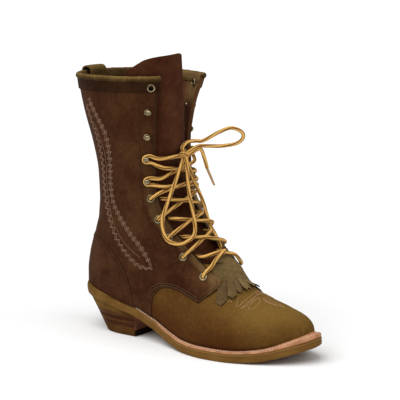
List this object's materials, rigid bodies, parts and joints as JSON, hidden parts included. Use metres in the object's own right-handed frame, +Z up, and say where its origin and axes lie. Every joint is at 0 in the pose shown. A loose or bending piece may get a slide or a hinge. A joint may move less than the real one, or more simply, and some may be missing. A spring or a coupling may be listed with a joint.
{
  "type": "lace-up boot",
  "caption": "Right-foot leather packer boot: tall lace-up shaft with hooks and eyelets, fringed kiltie, stitched welt and undershot stacked heel.",
  "frame": {"origin": "middle of the heel's bottom face, on the floor", "axes": "+X from heel to toe, +Y to the wearer's left, +Z up"},
  "size_m": [0.306, 0.11, 0.3145],
  "materials": {
    "sole_leather": "waxed tan sole leather edge",
    "welt_leather": "pinkish tan welt with pale lockstitch",
    "heel_dark": "dark stained heel lift edge",
    "heel_light": "brown heel lift edge",
    "heel_rubber": "brown top lift, dark underneath",
    "insole_leather": "plain natural leather",
    "shaft_leather": "oiled pull-up leather, dark reddish brown",
    "tongue_leather": "oiled leather, darker than the shaft",
    "quarter_leather": "oiled pull-up leather with stitched seams and tooled ornament",
    "counter_leather": "oiled pull-up leather",
    "collar_leather": "oiled leather with a tan rubbed rim",
    "kiltie_leather": "olive brown pull-up leather",
    "nickel": "nickel plated",
    "lace_cord": "round braided cord, golden with reddish brown flecks",
    "lace_tip": "wrapped lace tip"
  },
  "bodies": {
    "root": {"outsole": "sole_leather", "heel_wedge": "sole_leather", "heel_lift_3": "heel_dark", "heel_lift_2": "heel_light", "heel_lift_1": "heel_dark", "heel_top_lift": "heel_rubber", "heel_rand": "sole_leather", "welt": "welt_leather", "insole": "insole_leather", "upper": "shaft_leather", "tongue": "tongue_leather", "quarter_right": "quarter_leather", "quarter_left": "quarter_leather", "counter": "counter_leather", "collar_band": "collar_leather", "pull_loop": "collar_leather", "kiltie": "kiltie_leather", "eyelet_right_1": "nickel", "eyelet_right_2": "nickel", "eyelet_right_3": "nickel", "eyelet_right_4": "nickel", "eyelet_right_5": "nickel", "hook_right_6": "nickel", "hook_right_7": "nickel", "hook_right_8": "nickel", "hook_right_9": "nickel", "eyelet_right_10": "nickel", "eyelet_left_1": "nickel", "eyelet_left_2": "nickel", "eyelet_left_3": "nickel", "eyelet_left_4": "nickel", "eyelet_left_5": "nickel", "hook_left_6": "nickel", "hook_left_7": "nickel", "hook_left_8": "nickel", "hook_left_9": "nickel", "eyelet_left_10": "nickel", "lace_crossing_1": "lace_cord", "lace_crossing_2": "lace_cord", "lace_crossing_3": "lace_cord", "lace_crossing_4": "lace_cord", "lace_crossing_5": "lace_cord", "lace_crossing_6": "lace_cord", "lace_bar_top": "lace_cord", "lace_knot": "lace_cord", "lace_loop_hanging": "lace_cord", "lace_loop_side": "lace_cord", "lace_end_short": "lace_cord", "lace_end_long": "lace_cord", "lace_tip_short": "lace_tip", "lace_tip_long": "lace_tip"}
  },
  "joints": []
}
